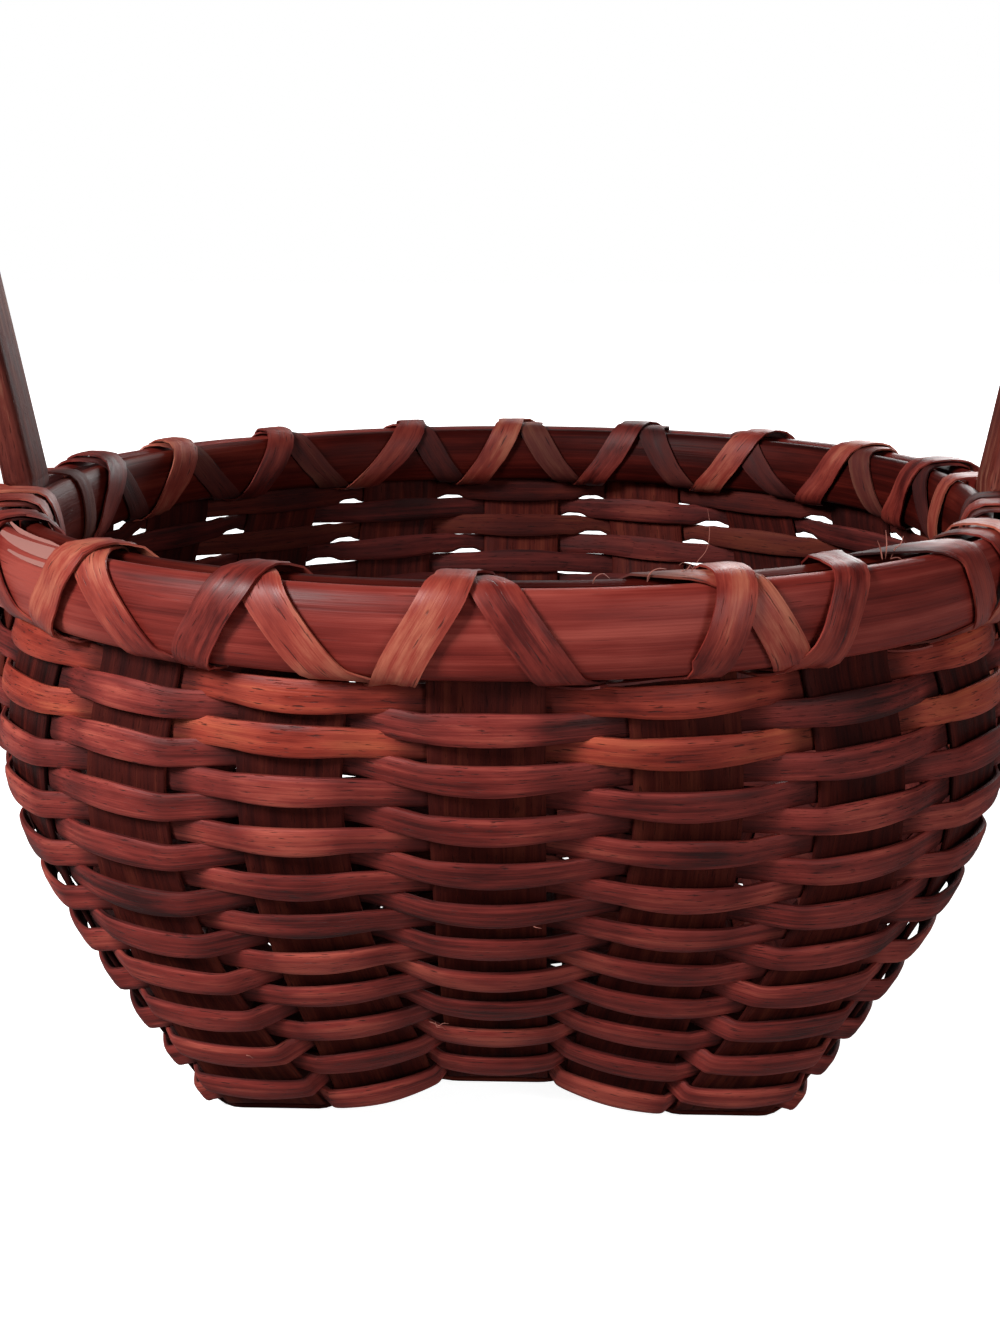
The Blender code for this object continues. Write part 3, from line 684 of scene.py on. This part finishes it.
# By stake from the front, in degrees: the foot from the middle of its gap, the top from the stake, how soon
# the strip swings over on its way up (below 1: near the foot), where it turns up after a run under the hoop
# (0: at its foot), and its slant across the top
forwardPlans = {
    -3: (-3.5, -8.5, 1), -2: (-3.2, -5.4, 1.15), -1: (-0.4, -3.4, 1.3), 0: (0.8, -2.6, 1.1),
    1: (3.2, 4, 0.7, 9.4), 2: (2.4, -1.8, 0.8), 3: (3, 6, 1, 11),
}
backwardPlans = {
    -3: (-9, -9, 1), -2: (-5, -4.6, 1.1, 0, -2), -1: (-4.2, -2.6, 1, 0, -3), 0: (-2, 0.4, 1, 0, -2),
    1: (1.5, 4.3, 1, 0, -7), 2: (11, 14, 0.7, 0, -9), 3: (2, 3, 1),
}


def rimOutline():
    # Once round both hoops, up the outer one's face, over the top and down inside
    points = []
    table = [spot for spot in rim["profile"] if spot[0] >= lashing["profileFrom"]]
    crowns = (rimHalf + lashing["overCrown"], -rimHalf - lashing["underCrown"])
    for radius, way, crown in ((rim["outer"], 1, crowns[0]), (rim["inner"], -1, crowns[1])):
        for side, order in ((-way, table), (way, table[::-1])):
            for share, half in order:
                height = rimMiddle + side * half * rimHalf
                points.append(Vector((radius + way * share * rim["thickness"], height)))
        points.append(Vector((lashing["crown"], rimMiddle + crown)))
    return points


outline = rimOutline()
outlineRuns = runLengths(outline + outline[:1])
hoopGirth = outlineRuns[-1]
crownIndex = len(outline) // 2 - 1
outerTopRun, innerTopRun = outlineRuns[crownIndex - 1], outlineRuns[crownIndex + 1]
innerEndRun = outlineRuns[-2]


def onOutline(run, distance, angle):
    # A point round the hoops: run along the outline, distance from it, angle about the basket
    run %= hoopGirth
    count = len(outline)
    index = 0
    while run > outlineRuns[index + 1]:
        index += 1
    share = (run - outlineRuns[index]) / (outlineRuns[index + 1] - outlineRuns[index])
    before, a, b, after = [outline[(index + step) % count] for step in (-1, 0, 1, 2)]
    tangent = mix((b - before).normalized(), (after - a).normalized(), share).normalized()
    point = mix(a, b, share) + Vector((tangent.y, -tangent.x)) * distance
    radius = point.x - bulgeAt(angle) * smooth((lashing["crown"] - point.x) / lashing["crownEase"])
    below = max(0, rimMiddle - point.y) / rimHalf
    return roundAxis(radius, angle, point.y + rim["backLift"] * backShare(angle) * below)


def lashingPlan(direction, seed):
    # Foot, top, bend, knee and slant for each turn, one turn to a stake
    rng = random.Random(seed)
    plans = forwardPlans if direction > 0 else backwardPlans
    shift = degrees(lashing["footShift"] / lashing["radius"])
    turns = []
    for turn in range(stakes):
        angle = direction * turn * stakeStep
        number = direction * turn % stakes
        plan = plans.get((number - frontStake + stakes // 2) % stakes - stakes // 2)
        if plan is None:
            foot = direction * (shift + rng.uniform(0, lashing["footLoose"]))
            plan = (foot, rng.uniform(*lashing["topLoose"]), rng.uniform(*lashing["bendLoose"]))
        if number % (stakes // 2) == 0:
            plan = (direction * shift, direction * lashing["handleStep"] * degrees(stakeStep) / 2, 1)
        foot, top, bend, knee, slant = plan + (0,) * (5 - len(plan))
        turns.append((angle - direction * stakeStep / 2 + radians(foot), angle + radians(top),
                      bend, radians(knee - foot) if knee else 0, radians(slant)))
    return turns


def freeShare(place, below):
    # 0 where a strip passes over the lower one, 1 well clear of it
    around = tau * lashing["radius"]
    nearest = around
    for other in below:
        aside = abs(place.y - other.y) % around
        aside = min(aside, around - aside)
        if aside < nearest:
            along = abs(place.x - other.x) % hoopGirth
            nearest = min(nearest, hypot(aside, min(along, hoopGirth - along)))
    return smooth((nearest - lashing["crossReach"]) / lashing["crossEase"])


def windStrip(direction, turns):
    # The strip's middle line on the flattened hoops: run round them, then way along them
    path = []
    for turn, (foot, top, bend, knee, slant) in enumerate(turns):
        nextFoot = turns[turn + 1][0] if turn + 1 < stakes else turns[0][0] + direction * tau
        nextKnee = turns[(turn + 1) % stakes][3]
        beyond = direction * (turn + 0.5) * stakeStep
        underEnd = hoopGirth - (lashing["kneeInset"] if nextKnee else 0)
        outer, over, inner, under = [shares(count) for count in lashing["steps"]]
        places = [(outerTopRun * t, mix(foot + knee, top, t ** bend)) for t in outer]
        places += [(mix(outerTopRun, innerTopRun, t), top + slant * t) for t in over]
        places += [(mix(innerTopRun, innerEndRun, t), mix(top + slant, beyond, t)) for t in inner]
        places += [(mix(innerEndRun, underEnd, t), mix(beyond, nextFoot, smooth(t))) for t in under]
        if nextKnee:
            places += [(underEnd, nextFoot + nextKnee * t) for t in under]
        path += [Vector((run + turn * hoopGirth, angle * lashing["radius"])) for run, angle in places]
    return soften(path, lashing["soften"])


def addLashing(node, direction, near, seed, below=()):
    turns = lashingPlan(direction, seed)
    flat = windStrip(direction, turns)
    nears = [mix(near, lashing["nearFree"], freeShare(place, below)) if below else near for place in flat]
    nears = soften(nears, lashing["nearSoften"])
    rings, tone, paintedShade = [], [], []
    last = lashing["across"] - 1
    for index, place in enumerate(flat):
        tangent = heading(flat, index)
        side = Vector((-tangent.y, tangent.x))
        run = place.x % hoopGirth
        fromFoot = run - (hoopGirth if run > hoopGirth / 2 else 0)
        # Painted shade inside the hoops: how far along the inside run a point lies
        inside = smooth((run - outerTopRun) / (innerTopRun - outerTopRun))
        inside *= 1 - smooth((run - innerEndRun) / (hoopGirth - innerEndRun))
        gap = nears[index] * mix(lashing["footTight"], 1, smooth(abs(fromFoot) / lashing["footReach"]))
        gap += lashing["proud"] * sin(pi * min(1, run / outerTopRun / lashing["proudReach"]))
        half = lashing["width"] / 2
        if turns[round(place.x / hoopGirth) % stakes][3] and abs(fromFoot) < lashing["kneeReach"]:
            half *= mix(lashing["kneeNarrow"], 1, smooth(fromFoot / lashing["kneeReach"]))
        ring = []
        for distance, order in ((gap, 1), (gap + lashing["thickness"], -1)):
            for step in range(last + 1):
                edge = mix(-1, 1, step / last) * order
                ease = lashing["edgeEase"] if step in (0, last) else 0
                spot = place + side * edge * half
                ring.append(onOutline(spot.x, distance + ease * order, spot.y / lashing["radius"]))
        rings.append(ring)
        tone.append(lashing["toneSwing"] * sin(place.x * lashing["toneWave"] + seed))
        paintedShade.append([lashing["insideShade"][direction] * inside] * len(ring))
    runs = runLengths([sum(ring, Vector()) / len(ring) for ring in rings], seed)
    addPiece(node, "lashing", rings, runs, paintedShade, tone)
    return flat


lowerStrip = addLashing("lashing_backward", -1, lashing["nearBackward"], 41)
addLashing("lashing_forward", 1, lashing["nearForward"], 43, lowerStrip)
print("lashing done")


# Handle: thin tails inside the weave, necks between the hoops, notches on the outer rim and one round bow
handle = {
    "height": 280 * mm, "lean": radians(10.5), "width": 13 * mm, "thickness": 6 * mm,
    "ease": 1.5 * mm, "easeShare": 0.32, "easeSteps": 3,
    "neckOuter": 93.55 * mm, "neck": 2 * mm, "neckHeights": (94, 98, 102, 105.8),
    "tail": 1.8 * mm, "tip": 1 * mm, "tipRise": 3, "tailLevels": 14, "tailSeat": 0.75 * mm,
    # The notch on the outer hoop: rise of the inner face in mm, then the outer face's share of the step out
    # from the neck to the full thickness and its rise in mm
    "seat": 108.3 * mm, "notch": ((-2, 0, -0.4), (0.6, 0.125, 0.05), (1.2, 0.85, 0.05), (2, 1, 0.7)),
    "legSteps": 8, "legTurn": 5, "steps": 120, "facets": 21, "flatSpread": 0.35,
    "grainStart": 60.0, "toneSwing": 0.5, "toneWave": 31,
}
neckInner = handle["neckOuter"] - handle["neck"]


def handlePairs():
    # Inner and outer face of one half's foot, as points in the handle's plane
    pairs = []
    for index in range(handle["tailLevels"] + 1):
        level = mix(layout["tailLevel"], 1, index / handle["tailLevels"])
        point, up, outward = onStake(stakeFrame(rightStake, level), 0, 0)
        way = Vector((outward.x, outward.z))
        outer = Vector((point.x, point.z)) - way * handle["tailSeat"]
        thick = mix(handle["tip"], handle["tail"], smooth(index / handle["tipRise"]))
        pairs.append((outer - way * thick, outer))
    for height in handle["neckHeights"]:
        pairs.append([Vector((x, height * mm)) for x in (neckInner, handle["neckOuter"])])
    for innerRise, share, outerRise in handle["notch"]:
        reach = mix(handle["neckOuter"], neckInner + handle["thickness"], share)
        pairs.append((Vector((neckInner, handle["seat"] + innerRise * mm)),
                      Vector((reach, handle["seat"] + outerRise * mm))))
    return pairs


def bowPairs():
    # The straight leg up from the notch, then the round bow, a little flattened at the top
    lean, thick, top = handle["lean"], handle["thickness"], handle["height"]
    topShare = cos((pi / 2 + lean) / handle["facets"])
    foot = Vector((neckInner + thick / 2, handle["seat"] + handle["notch"][-1][0] * mm))
    rise = top - foot.y - thick / 2 * topShare
    radius = (foot.x + rise * tan(lean)) / (1 / cos(lean) + topShare * tan(lean))
    centre = Vector((0, top - (radius + thick / 2) * topShare))
    across = Vector((cos(lean), -sin(lean)))
    start = centre + across * radius
    pairs = []
    for step in range(1, handle["legSteps"]):
        point = mix(foot, start, step / handle["legSteps"])
        half = mix(Vector((1, 0)), across, smooth(step / handle["legTurn"])).normalized() * thick / 2
        pairs.append((point - half, point + half))
    for step in range(handle["steps"] + 1):
        angle = mix(-lean, pi + lean, step / handle["steps"])
        outward = Vector((cos(angle), sin(angle)))
        share = exp(-((angle - pi / 2) / handle["flatSpread"]) ** 2)
        point = centre + outward * mix(radius, radius * topShare, share)
        pairs.append((point - outward * thick / 2, point + outward * thick / 2))
    return pairs


def handleRing(inner, outer, side):
    # A section with eased corners; side mirrors it to the other leg
    through = outer - inner
    thick = through.length
    through = through.normalized()
    ease = min(handle["ease"], thick * handle["easeShare"])
    half, far = handle["width"] / 2 - ease, thick - ease
    steps = handle["easeSteps"]
    ring = []
    for y, depth, turn in ((half, ease, 0), (-half, ease, -90), (-half, far, 180), (half, far, 90)):
        for step in range(steps + 1):
            angle = radians(mix(turn, turn - 90, step / steps))
            spot = inner + through * (depth + ease * sin(angle))
            ring.append(Vector((side * spot.x, y + ease * cos(angle), spot.y)))
    return ring


def addHandle():
    foot, bow = handlePairs(), bowPairs()
    leg = bow[:handle["legSteps"] - 1]
    rings = [handleRing(inner, outer, 1) for inner, outer in foot + bow]
    rings += [handleRing(inner, outer, -1) for inner, outer in reversed(foot + leg)]
    runs = runLengths([sum(ring, Vector()) / len(ring) for ring in rings], handle["grainStart"])
    tone = [handle["toneSwing"] * sin(run * handle["toneWave"]) for run in runs]
    addPiece("handle", "handle", rings, runs, None, tone)


addHandle()
print("handle done")


# Loose fibres on the inner hoop and the wall, and splinters lifted off the outer hoop at the left
fibres = {
    "corners": 5, "steps": 4, "tip": 0.3, "rootShare": 6, "facing": (0.2, 0.1, 1),
    # Hoop ones: degrees from the front, then in mm radius, thickness, width and points along, out and up
    "hoopHeight": 107.9 * mm,
    "hoop": (
        (7.6, 94.5, 0.16, 0.3, ((0.4, 0.2, 1.1), (1.4, 0.4, 1.6), (2.4, 0.6, 0.9))),
        (12.6, 94.5, 0.2, 0.4, ((0.4, 0.2, 1.4), (1.6, 0.2, 2), (2.8, 0.4, 1.9))),
        (15.2, 94.2, 0.16, 0.3, ((1, 0, 1.2), (2.2, -0.4, 1.5), (3, -0.8, 2.4))),
        (16.4, 94.2, 0.1, 0.12, ((1.6, -0.2, 2.4), (3.2, 0, 4.6), (3.4, 0.2, 8), (3, 0.2, 10.5))),
        (16.6, 94.2, 0.1, 0.12, ((0.6, 0, 1.6), (-0.8, 0, 2.6), (-1.6, 0, 2.2))),
        (38.2, 95, 0.2, 0.34, ((-0.6, 0, 1.8), (-1.6, 0.2, 3.2))),
        (38.6, 95, 0.2, 0.34, ((0.2, 0, 2.2), (-0.2, 0, 4.6))),
        (39.4, 95, 0.16, 0.3, ((0.9, 0, 1.4), (2.2, 0, 2), (2.8, 0, 3.2))),
        (39, 95.4, 0.16, 0.3, ((1.2, 0.6, 0.2), (1.8, 2, -0.6))),
    ),
    # Wall ones: stake, level, then in mm place and points along, out and up
    "wallOffset": 3.5 * mm, "wallSize": (0.22 * mm, 0.14 * mm),
    "wall": (
        (2, 0.26, -11, ((0.7, 0.5, 0.5), (1.7, 0.8, 0.1), (2.4, 0.8, 0.9), (3.4, 0.9, 1))),
        (2, 0.26, -10, ((0.3, 0.6, -0.7), (1.2, 0.8, -0.4), (1.7, 0.8, -1.3))),
        (0, 0.21, 5.5, ((0.4, 0.6, 0.8), (1.2, 0.8, 1), (1.4, 0.8, 0.3))),
        (2, 0.56, 7, ((0.5, 0.6, 0.5), (1.3, 0.7, 0.4))),
    ),
    # Splinters: degrees from the front, radius, length, width, rise at the tip and depth at the root in mm
    "splinterSteps": 6, "splinterThick": 0.35 * mm,
    "splinters": (
        (-46, 98.7, 26, 2.6, 0.5, 0.02), (-49, 96.6, 22, 1.4, 1, 0.02), (-47, 99.6, 18, 1.2, 0.3, 0.02),
    ),
}


def tornWood(name, text, rough, specular):
    # Bare torn wood, paler than the stained face
    material = bpy.data.materials.new(name)
    tree = emptyTree(material)
    values = {"Base Color": hexColour(text), "Roughness": rough, "Specular IOR Level": specular}
    addNode(tree, "OutputMaterial", (addNode(tree, "BsdfPrincipled", values),))
    return material


fibreWood = tornWood("torn_wood_fibre", "#9a6054", rough=0.6, specular=0.2)
# Partly painted highlight: the splinters' pale colour is both bare split wood and the hoop's highlight at
# the left
splinterWoodAndHighlight = tornWood("split_hoop_wood_pale_with_painted_highlight", "#a06c64", rough=0.2, specular=0.8)


def addFibre(name, points, width, thickness, material, facing=fibres["facing"]):
    # The strand tapers to its tip and its flat side faces the given way
    path = smoothPath(points, fibres["steps"])
    rings = []
    for index, point in enumerate(path):
        tangent = heading(path, index)
        across = tangent.cross(Vector(facing)).normalized()
        share, tip = index / (len(path) - 1), fibres["tip"]
        thin = mix(1, tip, share ** 2) * mix(tip, 1, min(1, share * fibres["rootShare"]))
        rings.append(ovalRing(point, across, across.cross(tangent), width * thin, thickness * thin,
                              fibres["corners"], 1))
    piece = wrapGrid(name, rings, runLengths(path))
    piece.data.materials.append(material)


def strand(base, along, out, up, steps):
    # A loose strand's points from its root on
    return [base] + [base + (along * a + out * o + up * u) * mm for a, o, u in steps]


def addLooseWood(frontAngle):
    for index, (turn, radius, thick, wide, steps) in enumerate(fibres["hoop"]):
        angle = frontAngle + radians(turn)
        out, along = roundAxis(1, angle, 0), Vector((-sin(angle), cos(angle), 0))
        base = out * radius * mm + Vector((0, 0, fibres["hoopHeight"]))
        points = strand(base, along, out, Vector((0, 0, 1)), steps)
        addFibre(f"visual_fibre_hoop_{index + 1}", points, wide * mm, thick * mm, fibreWood)
    for index, (stake, level, place, steps) in enumerate(fibres["wall"]):
        frameAt = stakeFrame(stake, level)
        base, up, out = onStake(frameAt, place * mm, fibres["wallOffset"])
        points = strand(base, (frameAt[0][1] - frameAt[0][0]).normalized(), out, up.normalized(), steps)
        addFibre(f"visual_fibre_wall_{index + 1}", points, *fibres["wallSize"], fibreWood)
    for index, (turn, radius, length, wide, rise, drop) in enumerate(fibres["splinters"]):
        top = rimMiddle + hoopHalf(radius * mm - rim["outer"])
        points = []
        for step in range(fibres["splinterSteps"] + 1):
            share = step / fibres["splinterSteps"]
            angle = frontAngle + radians(turn) - share * length / radius
            points.append(roundAxis(radius * mm, angle, top + (rise * share ** 3 - drop) * mm))
        facing = roundAxis(1, angle, 1)  # square to the rounded shoulder of the hoop
        thick = fibres["splinterThick"]
        addFibre(f"visual_splinter_{index + 1}", points, wide * mm, thick, splinterWoodAndHighlight, facing)


# Stage, light and camera: the picture's size, focal length and axis in pixels, then metres and degrees
stage = {
    "wide": 1000, "tall": 1330, "focal": 1927, "axis": 508, "distance": 0.372, "height": 0.165, "pitch": 14,
    "yaw": 2, "sensor": 36, "clipStart": 0.01, "floor": 3.0,
    # Shade of the paper and light of the room: for bounced light, then for the camera
    "paper": (0.3, 0.8), "glow": 0.93, "room": (0.09, 1),
    # Lamps: place, what they point at, size and watts
    "lamps": {
        "key": ((-0.85, -0.72, 0.82), (0, 0, 0.06), 0.4, 23),
        "fill": ((0.75, -1, 0.35), (0, 0, 0.06), 0.5, 4.5),
        "back": ((0.45, 1.15, 0.6), (0, 0, 0.08), 0.7, 13),
    },
}


def seenByCamera(tree, others, camera, output):
    # One shader for the camera's own rays and another for the light that bounces
    ray = addNode(tree, "LightPath").outputs["Is Camera Ray"]
    addNode(tree, output, (addNode(tree, "MixShader", (ray, others, camera)),))


def whitePaper(name):
    # Reads as white to the camera and still takes the basket's shadow
    material = bpy.data.materials.new(name)
    tree = emptyTree(material)
    dim, paper = [addNode(tree, "BsdfDiffuse", {"Color": (s, s, s, 1)}) for s in stage["paper"]]
    glow = addNode(tree, "Emission", {"Color": (1, 1, 1, 1), "Strength": stage["glow"]})
    both = addNode(tree, "AddShader", (paper, glow))
    seenByCamera(tree, dim, both, "OutputMaterial")
    return material


def addFloor():
    bm = bmesh.new()
    bmesh.ops.create_grid(bm, x_segments=1, y_segments=1, size=stage["floor"])
    floor = addObject("floor", makeMesh("floor", bm))
    floor.data.materials.append(whitePaper("matt_white_paper"))


def addWorld():
    world = bpy.data.worlds.new("studio_white")
    bpy.context.scene.world = world
    tree = emptyTree(world)
    room, white = [addNode(tree, "Background", {"Color": (1, 1, 1, 1), "Strength": strength})
                   for strength in stage["room"]]
    seenByCamera(tree, room, white, "OutputWorld")


def addLamp(name, place, target, size, watts):
    lamp = bpy.data.lights.new(name, "AREA")
    lamp.energy = watts
    lamp.size = size
    holder = addObject(name, lamp)
    holder.location = place
    holder.rotation_euler = (Vector(target) - Vector(place)).to_track_quat("-Z", "Y").to_euler()


def addCamera():
    lens = bpy.data.cameras.new("camera")
    camera = addObject("camera", lens)
    bpy.context.scene.camera = camera
    turn = radians(stage["yaw"])
    camera.location = Matrix.Rotation(turn, 3, "Z") @ Vector((0, -stage["distance"], stage["height"]))
    camera.rotation_euler = (pi / 2 - radians(stage["pitch"]), 0, turn)
    lens.sensor_width = stage["sensor"]
    lens.lens = stage["focal"] / stage["tall"] * stage["sensor"]
    lens.clip_start = stage["clipStart"]
    lens.shift_x = -(stage["axis"] - stage["wide"] / 2) / stage["tall"]


addLooseWood(radians(stage["yaw"] - 90))
print("loose fibres done")
addFloor()
addWorld()
for name, lamp in stage["lamps"].items():
    addLamp(name, *lamp)
addCamera()
bpy.context.scene.view_settings.view_transform = "Standard"
print("stage done")
